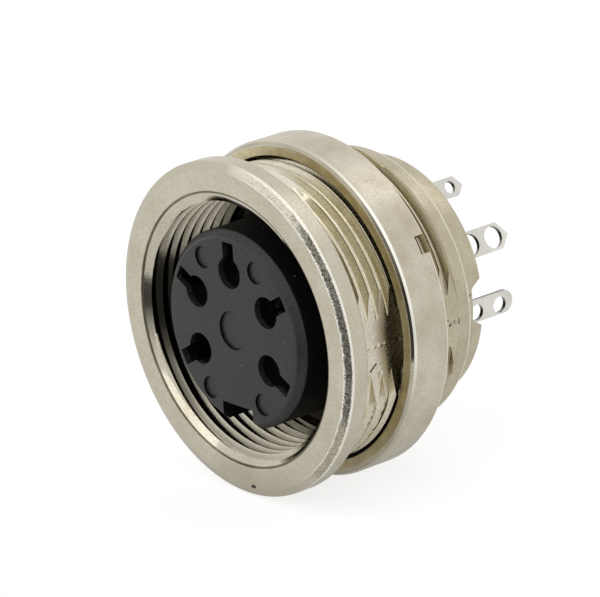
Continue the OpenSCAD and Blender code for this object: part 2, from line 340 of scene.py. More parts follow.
def coupling_thread_rows(clock):
    """Inside thread at one clock angle, from the web to its lead-in at the mouth."""
    rows = []
    around = signed(clock)
    flatter = band(around, *FLATTER_LEAD_IN) * (0.55 + 0.4 * eased((around + 10) / 20))
    shaded = 0.9 * band(clock, *SHADED_WALL)
    for turn in COUPLING_TURNS:
        ahead = turn + (clock - CREST_CLOCK) / 360
        for offset, height in reversed(COUPLING_FORM):
            along = GROOVE_AT + COUPLING_PITCH * ahead + offset
            along = min(max(along, COUPLING_START), COUPLING_END)
            inward = along - FACE_Y
            late_start = 1 - eased((inward - 0.35 - 0.32 * flatter) / 0.2)
            started = 1 - min(1.0, 3 * flatter) * late_start
            depth = height * started * eased((COUPLING_END - along) / 0.4)
            radius = MINOR_R + (COUPLING_R - MINOR_R) * depth
            lead_in = MINOR_R
            if inward < LEAD_IN_DEPTH:
                lead_in = MOUTH_R - inward - flatter * (inward - 0.7 * inward * inward)
            # Painted shade in the grooves, growing towards the deep end of the bore, and on the
            # mouth's left wall; none on the lead-in
            thread_recess_shade = 0.9 * min(1.0, 1.6 * depth) * eased((inward - 0.55) / 0.3)
            painted_light_value = max(thread_recess_shade, eased((along - 2.4) / 1.4), shaded * started)
            if lead_in > radius:
                painted_light_value = 0.0
            rows.append((max(radius, lead_in), along, painted_light_value))
    return rows


def torn_and_cast(radius, along, clock):
    """Row of the shell's front, torn at the mouth's lip and left rough as cast on one side."""
    if radius == TORN_LIP_R:
        tear = rough(clock, along, 0.3, 7) + rough(clock, along, 0.12, 8)
        return radius + 0.03 * tear, along
    share = band(clock, *CAST_CHAMFER)
    if share == 0:
        return radius, along
    if radius in CAST_LIP:
        tear = rough(clock, along, 0.35, 2) + 0.7 * rough(clock, along, 0.16, 3)
        lift = 0.012 * rough(clock, along, 0.2, 4)
        return radius + 0.05 * tear * share, max(FACE_Y, along + lift * share)
    if 9.6 < radius < 9.95 and along < -1.25:
        pit = rough(clock, along + radius, 0.3, 5) + 0.8 * rough(clock, radius, 0.14, 6)
        return radius, along + 0.025 * pit * share
    return radius, along


def wound_mesh(columns, rows_at, zones, turns):
    """Closed wall wound round the axis. Rows of a thread join up one turn further on."""
    bm = bmesh.new()
    # Vertex attribute of each row's painted shade or painted highlight, and of the outside
    # thread's pits
    groove = bm.verts.layers.float.new("groove")
    grid = []
    for j in range(columns):
        clock = 360 * j / columns
        column = []
        for radius, along, depth in rows_at(clock):
            vert = bm.verts.new(on_clock(radius, along, clock))
            vert[groove] = depth
            column.append(vert)
        grid.append(column)
    count = len(zones)
    for j in range(columns):
        here = grid[j]
        for i in range(count):
            k = (i + 1) % count
            if j < columns - 1:
                ring = (here[i], here[k], grid[j + 1][k], grid[j + 1][i])
            else:
                ring = (here[i], here[k], grid[0][turns[k]], grid[0][turns[i]])
            if len(set(ring)) == 4:
                face = bm.faces.new(ring)
                face.material_index = zones[i]
    bmesh.ops.remove_doubles(bm, verts=bm.verts[:], dist=WELD)
    bmesh.ops.dissolve_degenerate(bm, edges=bm.edges[:], dist=SLIVER)
    bmesh.ops.recalc_face_normals(bm, faces=bm.faces[:])
    return bm


def finish_mesh(bm, name, sharp=SHARP):
    """Mesh object from a bmesh, smooth but for its sharp edges."""
    mesh = bpy.data.meshes.new(name)
    bm.to_mesh(mesh)
    bm.free()
    mark_sharp(mesh, sharp)
    piece = bpy.data.objects.new(name, mesh)
    bpy.context.scene.collection.objects.link(piece)
    return piece


def mark_sharp(mesh, sharp):
    """Smooth shading, split where two faces meet at more than the sharp angle."""
    bm = bmesh.new()
    bm.from_mesh(mesh)
    limit = math.radians(sharp)
    for face in bm.faces:
        face.smooth = True
    for edge in bm.edges:
        edge.smooth = edge.calc_face_angle(0.0) < limit
    bm.to_mesh(mesh)
    bm.free()


def carve(piece, cutters, operation="DIFFERENCE", sharp=SHARP):
    """Cut or join other solids, and leave the result as the piece's own mesh."""
    for cutter in cutters:
        step = piece.modifiers.new("cut", "BOOLEAN")
        step.operation = operation
        step.solver = "EXACT"
        step.object = cutter
    shaped = piece.evaluated_get(bpy.context.evaluated_depsgraph_get())
    mesh = bpy.data.meshes.new_from_object(shaped)
    piece.modifiers.clear()
    piece.data = mesh
    for cutter in cutters:
        bpy.data.objects.remove(cutter)
    mark_sharp(mesh, sharp)
    return piece


def prism(name, outline, levels, clock):
    """Solid along the axis. Its outline is across and out, its levels are place and growth."""
    bm = bmesh.new()
    turn = Matrix.Rotation(math.radians(clock), 3, "Y")
    count = len(outline)
    rings = []
    for along, growth in levels:
        ring = []
        for i, (across, out) in enumerate(outline):
            here = Vector((across, out))
            before = (here - Vector(outline[i - 1])).normalized()
            after = (Vector(outline[(i + 1) % count]) - here).normalized()
            side = before + after
            side = Vector((side.y, -side.x)).normalized()
            lean = max(0.35, side.dot(Vector((after.y, -after.x))))
            here = here + side * growth / lean
            ring.append(bm.verts.new(turn @ Vector((here.x, along, here.y)) * MM))
        rings.append(ring)
    for low, high in zip(rings, rings[1:]):
        for i in range(count):
            k = (i + 1) % count
            bm.faces.new((low[i], low[k], high[k], high[i]))
    bm.faces.new(rings[0])
    bm.faces.new(rings[-1])
    bmesh.ops.recalc_face_normals(bm, faces=bm.faces[:])
    return finish_mesh(bm, name)


def turned_piece(corners, columns):
    """Solid of revolution from rounded corners; it may start and end on the axis."""
    profile = rounded(corners)
    rows = [(r, y, 0.0) for r, y, _ in profile]
    zones = [zone for _, _, zone in profile]
    return wound_mesh(columns, lambda clock: rows, zones, list(range(len(rows))))


def circle_outline(out, radius, count):
    """Round outline for a prism."""
    angles = [math.tau * i / count for i in range(count)]
    return [(radius * math.sin(a), out + radius * math.cos(a)) for a in angles]


def cut_flats(bm):
    """Mill the two flats: the thread is split at each flat's plane and laid down on it."""
    groove = bm.verts.layers.float["groove"]
    start, end = (FLAT_START - 0.0005) * MM, FLAT_END * MM
    for side in (1, -1):
        plane = Vector((side * FLAT_X, 0, 0)) * MM

        def outer(vert):
            return (vert.co.x * side > 7.9 * MM and start < vert.co.y < end
                    and math.hypot(vert.co.x, vert.co.z) > 8.1 * MM)

        def laid_down(vert):
            return outer(vert) and abs(vert.co.x - side * FLAT_X * MM) < ON_PLANE

        faces = [f for f in bm.faces if all(outer(v) for v in f.verts)]
        edges = list({e for f in faces for e in f.edges})
        verts = list({v for f in faces for v in f.verts})
        bmesh.ops.bisect_plane(bm, geom=verts + edges + faces, dist=ON_PLANE, plane_co=plane,
                               plane_no=Vector((side, 0, 0)))
        for vert in bm.verts:
            if outer(vert) and vert.co.x * side > FLAT_X * MM:
                vert.co.x = side * FLAT_X * MM
                vert[groove] = 0.0
        for face in bm.faces:
            if all(laid_down(v) for v in face.verts):
                in_front = face.calc_center_median().y < FLAT_REAR * MM
                face.material_index = FLAT if in_front else REAR
    bmesh.ops.dissolve_degenerate(bm, edges=bm.edges[:], dist=FLAT_SLIVER)


def raise_parting_flash(bm):
    """Thin uneven flash left by the die along the middle of each flat."""
    def on_flat(vert):
        return abs(abs(vert.co.x) - FLAT_X * MM) < ON_PLANE

    def in_strip(vert):
        return abs(vert.co.z) < FLASH_HALF_WIDTH * MM and on_flat(vert) and vert.co.y > 0.5 * MM

    strip = [f for f in bm.faces if all(in_strip(v) for v in f.verts)]
    edges = list({e for f in strip for e in f.edges})
    bmesh.ops.subdivide_edges(bm, edges=edges, cuts=2, use_grid_fill=True)
    for vert in bm.verts:
        across, along = vert.co.z / MM, vert.co.y / MM
        if not on_flat(vert) or along < 0.8:
            continue
        drift = 0.06 * noise.noise(Vector((along * 1.3, 4.2, 0.5)))
        ridge = math.exp(-((across - drift) / 0.07) ** 2)
        uneven = max(0.0, 0.45 + noise.noise(Vector((along * 3.1, across * 3.0, 1.7))))
        height = 0.05 * ridge * uneven
        for lump_y, lump_z in FLASH_LUMPS:
            gap = (along - lump_y) ** 2 + (across - lump_z) ** 2
            height += 0.09 * math.exp(-gap / 0.1 ** 2)
        vert.co.x += math.copysign(height, vert.co.x) * MM


def plated_shell(*finishes):
    """Die-cast shell: flange, outside thread with two flats, neck, collar and coupling thread."""
    front = [(r, y, 0.0) for r, y, _ in SHELL_FRONT]
    rear = [(r, y, 0.0) for r, y, _ in SHELL_REAR]
    outer_count = len(panel_thread_rows(0))
    inner_count = len(coupling_thread_rows(0))

    def rows_at(clock):
        torn = [(*torn_and_cast(r, y, clock), painted_light_value) for r, y, painted_light_value in front]
        return torn + panel_thread_rows(clock) + rear + coupling_thread_rows(clock)

    zones = ([z for _, _, z in SHELL_FRONT] + [THREAD] * outer_count
             + [z for _, _, z in SHELL_REAR] + [MOUTH] * inner_count)
    turns = list(range(len(zones)))
    outer_start = len(front)
    inner_start = outer_start + outer_count + len(rear)
    for i in range(outer_count):
        turns[outer_start + i] = outer_start + min(i + len(THREAD_FORM), outer_count - 1)
    for i in range(inner_count):
        turns[inner_start + i] = inner_start + max(i - len(COUPLING_FORM), 0)
    bm = wound_mesh(COLUMNS, rows_at, zones, turns)
    cut_flats(bm)
    raise_parting_flash(bm)
    piece = finish_mesh(bm, "shell_body")
    dress(piece, *finishes)
    cutters = [notch_cutter(side) for side in (1, -1)]
    cutters.append(prism("key_slot_cutter", KEY_SLOT, [(INSERT_Y, 0), (12.5, 0)], 0))
    return carve(piece, cutters)


def notch_cutter(side):
    """Solid that cuts a notch with sloping ends into one side of the collar."""
    bm = bmesh.new()
    rings = [[bm.verts.new(Vector((side * x, COLLAR_END + y, z)) * MM) for z, y in NOTCH]
             for x in (6.0, 8.0)]
    for i in range(len(NOTCH)):
        k = (i + 1) % len(NOTCH)
        bm.faces.new((rings[0][i], rings[0][k], rings[1][k], rings[1][i]))
    bm.faces.new(rings[0])
    bm.faces.new(rings[1])
    bmesh.ops.recalc_face_normals(bm, faces=bm.faces[:])
    return finish_mesh(bm, "notch_cutter")


def slotted_nut(*finishes):
    """Round nut with rounded edges and two spanner slots in its rear edge."""
    bm = turned_piece([
        (NUT_BORE_R, 4.6, 0, NUT_INSIDE),
        (NUT_BORE_R, NUT_FRONT + 0.16, 0, NUT_LIP),
        (NUT_BORE_R + 0.16, NUT_FRONT, 0, NUT_FACE),
        (NUT_R - 0.35, NUT_FRONT, 0, NUT_HIGHLIGHT),
        (NUT_R - 0.28, NUT_FRONT + 0.01, 0, NUT_POLISHED),
        (NUT_R - 0.12, NUT_FRONT + 0.11, 0, NUT_HIGHLIGHT),
        (NUT_R, NUT_FRONT + 0.26, 0.02, NUT_SIDE),
        (NUT_R, NUT_REAR - 0.13, 0, NUT_HIGHLIGHT),
        (NUT_R - 0.03, NUT_REAR - 0.06, 0, NUT_FACE),
        (NUT_R - 0.1, NUT_REAR, 0.03, NUT_FACE),
        (NUT_BORE_R + 0.25, NUT_REAR, 0.04, NUT_SIDE),
        (NUT_BORE_R, NUT_REAR - 0.25, 0.08, NUT_INSIDE),
        (NUT_BORE_R, 4.7, 0, NUT_INSIDE),
    ], COLUMNS)
    # Painted highlights on the nut's front and rear edges, on the side towards the light
    groove = bm.verts.layers.float["groove"]
    for vert in bm.verts:
        clock = math.degrees(math.atan2(vert.co.x, vert.co.z))
        if vert.co.y > NUT_MIDDLE * MM:
            vert[groove] = -0.8 * band(clock, *NUT_BRIGHT_REAR)
        else:
            vert[groove] = -band(clock, *NUT_BRIGHT_FRONT)
    piece = finish_mesh(bm, "nut_body", NUT_SHARP)
    dress(piece, *finishes)
    half = SLOT_W / 2
    slot = [(-half, 8.0), (-half, 11.0), (half, 11.0), (half, 8.0)]
    levels = [(NUT_REAR - SLOT_H, 0), (NUT_REAR - 0.04, 0),
              (NUT_REAR + 0.06, 0.06), (NUT_REAR + 0.5, 0.06)]
    cutters = [prism("slot_cutter", slot, levels, SLOT_CLOCK + turn) for turn in (0, 180)]
    carve(piece, cutters, sharp=NUT_SHARP)
    across = on_clock(1.0, 0.0, SLOT_CLOCK + 90).normalized()
    slot_floor, slot_rim = (NUT_REAR - SLOT_H - 0.01) * MM, (NUT_REAR - 0.05) * MM
    for face in piece.data.polygons:
        between_walls = abs(face.center.dot(across)) < (half + 0.02) * MM
        if between_walls and slot_floor < face.center.y < slot_rim:
            face.material_index = NUT_INSIDE
    return piece


def keyhole_outline():
    """Round cavity with a slot that opens outwards."""
    half, reach, soft = 0.55, 5.4, 0.1
    meet = math.asin(half / CAVITY_R)
    arc = [(CAVITY_R * math.sin(a), CONTACT_R + CAVITY_R * math.cos(a))
           for a in (meet + (math.tau - 2 * meet) * i / 40 for i in range(41))]
    return arc + [(-half, reach - soft), (-half + soft, reach),
                  (half - soft, reach), (half, reach - soft)]


def keyed_insert(*finishes):
    """Moulded socket post with keyway, keyhole cavities and shallow round moulding marks."""
    bm = turned_piece([
        (0.0, FACE_Y, 0, POST_FACE),
        (POST_R - POST_CHAMFER, FACE_Y, 0.08, POST_FACE),
        (POST_R, FACE_Y + POST_CHAMFER, 0.08, POST_FACE),
        (POST_R, INSERT_Y, 0, POST_FACE),
        (INSERT_R, INSERT_Y, 0.04, POST_FACE),
        (INSERT_R, CARRIER_Y, 0.04, POST_FACE),
        (0.0, CARRIER_Y, 0, POST_FACE),
    ], 240)
    piece = finish_mesh(bm, "insert_body")
    key = [(-0.6, 6.0), (-0.6, 6.95), (0.6, 6.95), (0.6, 6.0)]
    carve(piece, [prism("key_rib", key, [(INSERT_Y, 0), (CARRIER_Y, 0)], 0)], "UNION")
    mouth = [(FACE_Y - 0.2, 0.08), (FACE_Y, 0.08), (FACE_Y + 0.06, 0.03), (FACE_Y + 0.12, 0.0)]
    cavity = mouth + [(FACE_Y + 0.45, 0), (INSERT_Y, 0)]
    bore = [(INSERT_Y - 0.1, 0.001), (CARRIER_Y + 0.5, 0.001)]
    pocket = [(CARRIER_Y - 0.7, 0), (CARRIER_Y + 0.6, 0)]
    cutters = []
    for clock in CONTACT_CLOCKS:
        cutters.append(prism("cavity_cutter", keyhole_outline(), cavity, clock))
        cutters.append(prism("bore_cutter", circle_outline(CONTACT_R, CAVITY_R, 48), bore, clock))
        cutters.append(prism("pocket_cutter", circle_outline(CONTACT_R, POCKET_R, 48), pocket,
                             clock))
    keyway = [(-1.4, 6.6), (1.4, 6.6), (1.4, 4.62), (1.28, 4.5), (-1.28, 4.5), (-1.4, 4.62)]
    cutters.append(prism("keyway_cutter", keyway, mouth + [(INSERT_Y, 0)], 180))
    shallow = [(FACE_Y - 0.2, 0.02), (FACE_Y, 0.02), (FACE_Y + 0.03, 0.0), (FACE_Y + 0.16, -0.01)]
    for clock in MARK_CLOCKS:
        mark = circle_outline(MARK_CIRCLE_R, MARK_R, 40)
        cutters.append(prism("mark_cutter", mark, shallow, clock))
    centre_mark = circle_outline(0, CENTRE_MARK_R, 56)
    cutters.append(prism("centre_mark_cutter", centre_mark, shallow, 0))
    dress(piece, *finishes)
    carve(piece, cutters)
    for face in piece.data.polygons:
        face.material_index = insert_zone(face)
    return piece


def insert_zone(face):
    """Front face, painted highlight on the rim of the front, or the walls in painted shade."""
    out = math.hypot(face.center.x, face.center.z)
    deep = face.center.y / MM - FACE_Y
    facing = face.normal.y
    if -0.985 < facing < -0.72 and out > (POST_R - 0.56) * MM and deep < 0.07:
        return POST_RIM
    if abs(facing) < 0.3 and (out < 1.3 * MM or 0.05 < deep < 0.17):
        return POST_DEEP
    front = facing < -0.3 or out < (POST_R - 0.4) * MM
    return POST_FACE if front and deep < 0.5 else POST_DEEP


def soften(piece, width):
    """Rounded edges on a stamped or moulded piece."""
    step = piece.modifiers.new("edges", "BEVEL")
    step.width = width * MM
    step.segments = 2
    step.limit_method = "ANGLE"
    step.angle_limit = math.radians(40)
    return piece


class Finish:
    """A material's nodes, with short calls to place and join them."""

    def __init__(self, name):
        self.material = bpy.data.materials.new(name)
        self.material.use_nodes = True
        self.tree = self.material.node_tree
        self.shader = self.tree.nodes["Principled BSDF"]

    def set(self, **values):
        for key, value in values.items():
            self.shader.inputs[key.replace("_", " ")].default_value = value
        return self


def place(tree, kind, values=None, **settings):
    """Add a node, with settings and socket values."""
    node = tree.nodes.new(kind)
    for key, value in settings.items():
        setattr(node, key, value)
    for key, value in (values or {}).items():
        node.inputs[key].default_value = value
    return node


def maths(tree, operation, *values, clamp=False):
    """Math node fed by sockets or numbers."""
    node = place(tree, "ShaderNodeMath", operation=operation, use_clamp=clamp)
    for socket, value in zip(node.inputs, values):
        if isinstance(value, (int, float)):
            socket.default_value = value
        else:
            tree.links.new(value, socket)
    return node.outputs[0]


def between(tree, mask, first, second):
    """Colour between two others by a mask."""
    node = place(tree, "ShaderNodeMix", data_type="RGBA")
    for number, value in ((MIX_SHARE, mask), (MIX_FIRST, first), (MIX_SECOND, second)):
        if isinstance(value, tuple):
            node.inputs[number].default_value = value
        else:
            tree.links.new(value, node.inputs[number])
    return node.outputs[MIX_RESULT]


def ramp_value(tree, value, low, high, to_low=0.0, to_high=1.0):
    """Value moved from one range to another."""
    ranges = {MAP_LOW: low, MAP_HIGH: high, MAP_TO_LOW: to_low, MAP_TO_HIGH: to_high}
    node = place(tree, "ShaderNodeMapRange", ranges, clamp=True)
    tree.links.new(value, node.inputs[MAP_VALUE])
    return node.outputs[0]


def new_group(name, inputs, outputs):
    """Shader node group with named sockets."""
    group = bpy.data.node_groups.new(name, "ShaderNodeTree")
    for socket, kind, value in inputs:
        made = group.interface.new_socket(socket, in_out="INPUT", socket_type=kind)
        made.default_value = value
    for socket, kind in outputs:
        group.interface.new_socket(socket, in_out="OUTPUT", socket_type=kind)
    return group, group.nodes.new("NodeGroupInput"), group.nodes.new("NodeGroupOutput")


def satin_grain_group():
    """Fine satin speckle of plated metal, with broader unevenness."""
    group, given, out = new_group("satin_grain", [
        ("Grain", "NodeSocketFloat", FINE_GRAIN),
        ("Cloud", "NodeSocketFloat", 450.0),
    ], [
        ("Height", "NodeSocketFloat"),
        ("Speckle", "NodeSocketFloat"),
        ("Cloudiness", "NodeSocketFloat"),
    ])
    where = place(group, "ShaderNodeTexCoord")
    fine = place(group, "ShaderNodeTexNoise", {"Detail": 3.0, "Roughness": 0.65})
    broad = place(group, "ShaderNodeTexNoise", {"Detail": 2.0, "Roughness": 0.5})
    for node, scale in ((fine, "Grain"), (broad, "Cloud")):
        group.links.new(where.outputs["Object"], node.inputs["Vector"])
        group.links.new(given.outputs[scale], node.inputs["Scale"])
    group.links.new(fine.outputs["Fac"], out.inputs["Height"])
    group.links.new(ramp_value(group, fine.outputs["Fac"], 0.35, 0.68), out.inputs["Speckle"])
    group.links.new(ramp_value(group, broad.outputs["Fac"], 0.3, 0.7), out.inputs["Cloudiness"])
    return group


def line_mark_group():
    """Mask of a straight mark from one point to another with soft sides."""
    group, given, out = new_group("line_mark", [
        ("From", "NodeSocketVector", (0, 0, 0)),
        ("To", "NodeSocketVector", (0, 0, 0)),
        ("Width", "NodeSocketFloat", 0.0001),
    ], [("Mask", "NodeSocketFloat")])
    where = place(group, "ShaderNodeTexCoord")

    def vectors(operation, first, second):
        node = place(group, "ShaderNodeVectorMath", operation=operation)
        group.links.new(first, node.inputs[0])
        group.links.new(second, node.inputs[1])
        return node.outputs["Vector" if operation == "SUBTRACT" else "Value"]

    reach = vectors("SUBTRACT", where.outputs["Object"], given.outputs["From"])
    length = vectors("SUBTRACT", given.outputs["To"], given.outputs["From"])
    along = vectors("DOT_PRODUCT", reach, length)
    whole = vectors("DOT_PRODUCT", length, length)
    scaled = place(group, "ShaderNodeVectorMath", operation="SCALE")
    group.links.new(length, scaled.inputs[0])
    group.links.new(maths(group, "DIVIDE", along, whole, clamp=True), scaled.inputs["Scale"])
    soft = place(group, "ShaderNodeMapRange", {MAP_TO_LOW: 1.0, MAP_TO_HIGH: 0.0}, clamp=True,
                 interpolation_type="SMOOTHSTEP")
    gap = vectors("DISTANCE", reach, scaled.outputs["Vector"])
    inner = maths(group, "MULTIPLY", given.outputs["Width"], 0.35)
    group.links.new(gap, soft.inputs[MAP_VALUE])
    group.links.new(inner, soft.inputs[MAP_LOW])
    group.links.new(given.outputs["Width"], soft.inputs[MAP_HIGH])
    group.links.new(soft.outputs[0], out.inputs["Mask"])
    return group


def placed_group(tree, group, **values):
    """Group node with its own values."""
    node = tree.nodes.new("ShaderNodeGroup")
    node.node_tree = group
    for key, value in values.items():
        node.inputs[key].default_value = value
    return node


def raise_bump(finish, height, strength, distance):
    """Bump from a height on the finish's shader."""
    bump = place(finish.tree, "ShaderNodeBump", {"Strength": strength, "Distance": distance * MM})
    finish.tree.links.new(height, bump.inputs["Height"])
    finish.tree.links.new(bump.outputs["Normal"], finish.shader.inputs["Normal"])


def colour(red, green, blue):
    """Linear colour from the 0 to 255 values of a screen."""
    def one(v):
        v /= 255
        return v / 12.92 if v <= 0.04045 else ((v + 0.055) / 1.055) ** 2.4
    return (one(red), one(green), one(blue), 1.0)


GRAIN = satin_grain_group()
LINE_MARK = line_mark_group()
NICKEL_LIGHT = colour(208, 202, 185)
NICKEL_DARK = colour(196, 189, 170)
NICKEL_STAIN = colour(132, 121, 96)
# Painted highlight on thread crests and nut edges, and real bright wear on the chamfer's torn
# edges
BRIGHT_WEAR_AND_HIGHLIGHT = colour(250, 247, 236)
MARK_BLACK = (0.012, 0.011, 0.01, 1)
DUST = colour(150, 150, 148)
PALE_FLECK = colour(78, 78, 77)


def plated_finish(name, light, dark, stain_and_shade, roughness, depth, marks=(), groove_dirt=0.0,
                  cloud=420.0, speck=0.26):
    """Satin nickel plating: speckled sheen, cloudy tint, painted shade and painted highlights from
    the vertex attribute, and dark marks.
    """
    finish = Finish(name).set(Metallic=1.0)
    tree = finish.tree
    grain = placed_group(tree, GRAIN, Grain=FINE_GRAIN, Cloud=cloud)
    tint = between(tree, grain.outputs["Cloudiness"], dark, light)
    # Painted shade where the vertex attribute is above nothing, painted highlight where it is
    # below nothing
    if groove_dirt:
        groove = place(tree, "ShaderNodeAttribute", attribute_name="groove").outputs["Fac"]
        tint = between(tree, maths(tree, "MULTIPLY", groove, groove_dirt, clamp=True), tint, stain_and_shade)
        tint = between(tree, maths(tree, "MULTIPLY", groove, -1.0, clamp=True), tint, BRIGHT_WEAR_AND_HIGHLIGHT)
    speckle = maths(tree, "MULTIPLY", grain.outputs["Speckle"], speck)
    tint = between(tree, speckle, tint, stain_and_shade)
    for start, end, width, strength in marks:
        mark = placed_group(tree, LINE_MARK, From=Vector(start) * MM, To=Vector(end) * MM,
                            Width=width * MM)
        shown = maths(tree, "MULTIPLY", mark.outputs["Mask"], strength)
        tint = between(tree, shown, tint, MARK_BLACK)
    tree.links.new(tint, finish.shader.inputs["Base Color"])
    dull = ramp_value(tree, grain.outputs["Speckle"], 0, 1, roughness - 0.06, roughness + 0.08)
    tree.links.new(dull, finish.shader.inputs["Roughness"])
    raise_bump(finish, grain.outputs["Height"], 0.35, depth)
    return finish.material


def as_cast_finish(name):
    """Front chamfer: plated, with dark pitted cast skin, bright edges beside the mouth, and
    painted light that makes it lighter towards the top.
    """
    finish = Finish(name).set(Metallic=1.0)
    tree = finish.tree
    where = place(tree, "ShaderNodeTexCoord").outputs["Object"]
    grain = placed_group(tree, GRAIN, Grain=FINE_GRAIN, Cloud=900.0)
    grit = place(tree, "ShaderNodeTexVoronoi", {"Scale": 13000.0, "Randomness": 1.0})
    flecks = place(tree, "ShaderNodeTexVoronoi", {"Scale": 7000.0, "Randomness": 1.0})
    tone = place(tree, "ShaderNodeSeparateColor")
    towards_side = on_clock(1.0, 0.0, CAST_SIDE_CLOCK).normalized()
    side = place(tree, "ShaderNodeVectorMath", {1: towards_side}, operation="DOT_PRODUCT")
    off_axis = place(tree, "ShaderNodeVectorMath", {1: (1.0, 0.0, 1.0)}, operation="MULTIPLY")
    radius = place(tree, "ShaderNodeVectorMath", operation="LENGTH")
    split = place(tree, "ShaderNodeSeparateXYZ")
    for node in (grit, flecks, side, off_axis, split):
        tree.links.new(where, node.inputs[0])
    tree.links.new(grit.outputs["Color"], tone.inputs[0])
    tree.links.new(off_axis.outputs[0], radius.inputs[0])

    def both(first, second):
        return maths(tree, "MULTIPLY", first, second)

    def ring(value, inner, outer):
        return both(ramp_value(tree, value, *inner), ramp_value(tree, value, *outer, 1, 0))

    def toned(first, second):
        return between(tree, tone.outputs["Red"], colour(*first), colour(*second))

    ragged = maths(tree, "MULTIPLY_ADD", grain.outputs["Cloudiness"], 0.0006,
                   side.outputs["Value"])
    dark = ramp_value(tree, ragged, *CAST_DARK)
    skin = ramp_value(tree, ragged, *CAST_SKIN)
    torn = maths(tree, "MULTIPLY_ADD", tone.outputs["Green"], 0.00006, radius.outputs["Value"])
    pitted = ring(torn, PITTED_FROM, PITTED_TO)
    # Painted light: the plain chamfer is lighter towards the top
    painted_top_light = ramp_value(tree, split.outputs["Z"], *UPPER_SIDE)
    pale = between(tree, painted_top_light, toned((196, 190, 172), (150, 144, 126)),
                   toned((232, 227, 211), (196, 190, 172)))
    fleck = ramp_value(tree, flecks.outputs["Distance"], 0.1, 0.22, 0.85, 0.0)
    cast = between(tree, fleck, toned((168, 163, 150), (74, 72, 66)), colour(214, 210, 198))
    cast = between(tree, dark, pale, cast)
    worn = between(tree, skin, colour(194, 188, 170), colour(240, 236, 224))
    tint = between(tree, both(pitted, skin), worn, cast)
    torn_edge = both(ring(torn, TORN_FROM, TORN_TO),
                     ramp_value(tree, tone.outputs["Blue"], 0.42, 0.5))
    tint = between(tree, both(torn_edge, dark), tint, BRIGHT_WEAR_AND_HIGHLIGHT)
    tree.links.new(tint, finish.shader.inputs["Base Color"])
    tree.links.new(ramp_value(tree, pitted, 0, 1, 0.3, 0.42), finish.shader.inputs["Roughness"])
    relief = maths(tree, "ADD", grit.outputs["Distance"], grain.outputs["Height"])
    raise_bump(finish, both(relief, skin), 0.6, 0.02)
    return finish.material


def moulded_finish(name, light, dark, roughness, gloss=0.36, flecks=0.0):
    """Dark moulded plastic with a fine matt grain and a little dust."""
    finish = Finish(name).set(Metallic=0.0, Specular_IOR_Level=gloss)
    tree = finish.tree
    grain = placed_group(tree, GRAIN, Grain=MOULD_GRAIN, Cloud=MOULD_CLOUD)
    tint = between(tree, grain.outputs["Cloudiness"], dark, light)
    where = place(tree, "ShaderNodeTexCoord")
    motes = place(tree, "ShaderNodeTexVoronoi", {"Scale": DUST_SCALE, "Randomness": 1.0})
    tree.links.new(where.outputs["Object"], motes.inputs["Vector"])
    if flecks:
        fleck = maths(tree, "MULTIPLY", grain.outputs["Speckle"], flecks)
        tint = between(tree, fleck, tint, PALE_FLECK)
    dusty = ramp_value(tree, motes.outputs["Distance"], 0.04, 0.07, 0.5, 0.0)
    tint = between(tree, dusty, tint, DUST)
    tree.links.new(tint, finish.shader.inputs["Base Color"])
    dull = ramp_value(tree, grain.outputs["Speckle"], 0, 1, roughness - 0.05, roughness + 0.07)
    tree.links.new(dull, finish.shader.inputs["Roughness"])
    raise_bump(finish, grain.outputs["Height"], 0.5, 0.014)
    return finish.material


def dress(piece, *materials):
    """Give a piece its materials, in the order of its zones."""
    while len(piece.material_slots) < len(materials):
        piece.data.materials.append(None)
    for slot, material in zip(piece.material_slots, materials):
        slot.material = material


def sort_tag_edges(contact):
    """Cut edges and eyelet walls of a solder tag get the second material."""
    behind = [f for f in contact.data.polygons if f.center.y > TAG_START * MM]
    areas = {}
    for face in behind:
        side = tuple(round(abs(v), 2) for v in face.normal)
        areas[side] = areas.get(side, 0.0) + face.area
    flat = Vector(max(areas, key=areas.get))
    for face in behind:
        square = sum(abs(n) * f for n, f in zip(face.normal, flat))
        face.material_index = 1 if square < 0.9 else 0


# Dark marks as start, end, width and strength
FLAT_MARK = ((FLAT_X, 1.47, -1.39), (FLAT_X, 1.92, -1.04), 0.085, 0.95)
FLASH_PITS = [((FLAT_X, 7.55, 0.04), (FLAT_X, 7.6, -0.04), 0.07, 0.8),
              ((FLAT_X, 7.7, -0.34), (FLAT_X, 7.79, -0.26), 0.09, 0.9),
              ((FLAT_X, 8.05, -0.24), (FLAT_X, 8.09, -0.08), 0.07, 0.7),
              ((FLAT_X, 8.38, -0.02), (FLAT_X, 8.42, -0.34), 0.07, 0.9)]
COLLAR_PIT = ((7.47, 10.2, 0.6), (7.47, 10.24, 0.68), 0.08, 0.85)
FLANGE_SPECK = ((0.90, FACE_Y, -9.40), (1.06, FACE_Y, -9.36), 0.19, 0.92)

plated = plated_finish("plated_nickel", NICKEL_LIGHT, NICKEL_DARK, NICKEL_STAIN, 0.34, 0.01,
                       [FLANGE_SPECK])
flat_plated = plated_finish("flat_nickel", colour(221, 215, 198), colour(209, 202, 184),
                            NICKEL_STAIN, 0.26, 0.002, [FLAT_MARK])
# Its brown stain colour gives the grain's speckle, the real pits and the outside thread's painted
# shade
thread_plated = plated_finish("thread_nickel", colour(230, 224, 203), colour(216, 209, 184),
                              colour(90, 72, 34), 0.24, 0.002, groove_dirt=0.85, cloud=900.0)
# Its dark stain colour gives the grain's speckle and the inside thread's painted shade
mouth_plated = plated_finish("mouth_nickel", NICKEL_LIGHT, NICKEL_DARK, colour(60, 54, 41),
                             0.12, 0.003, groove_dirt=0.8)
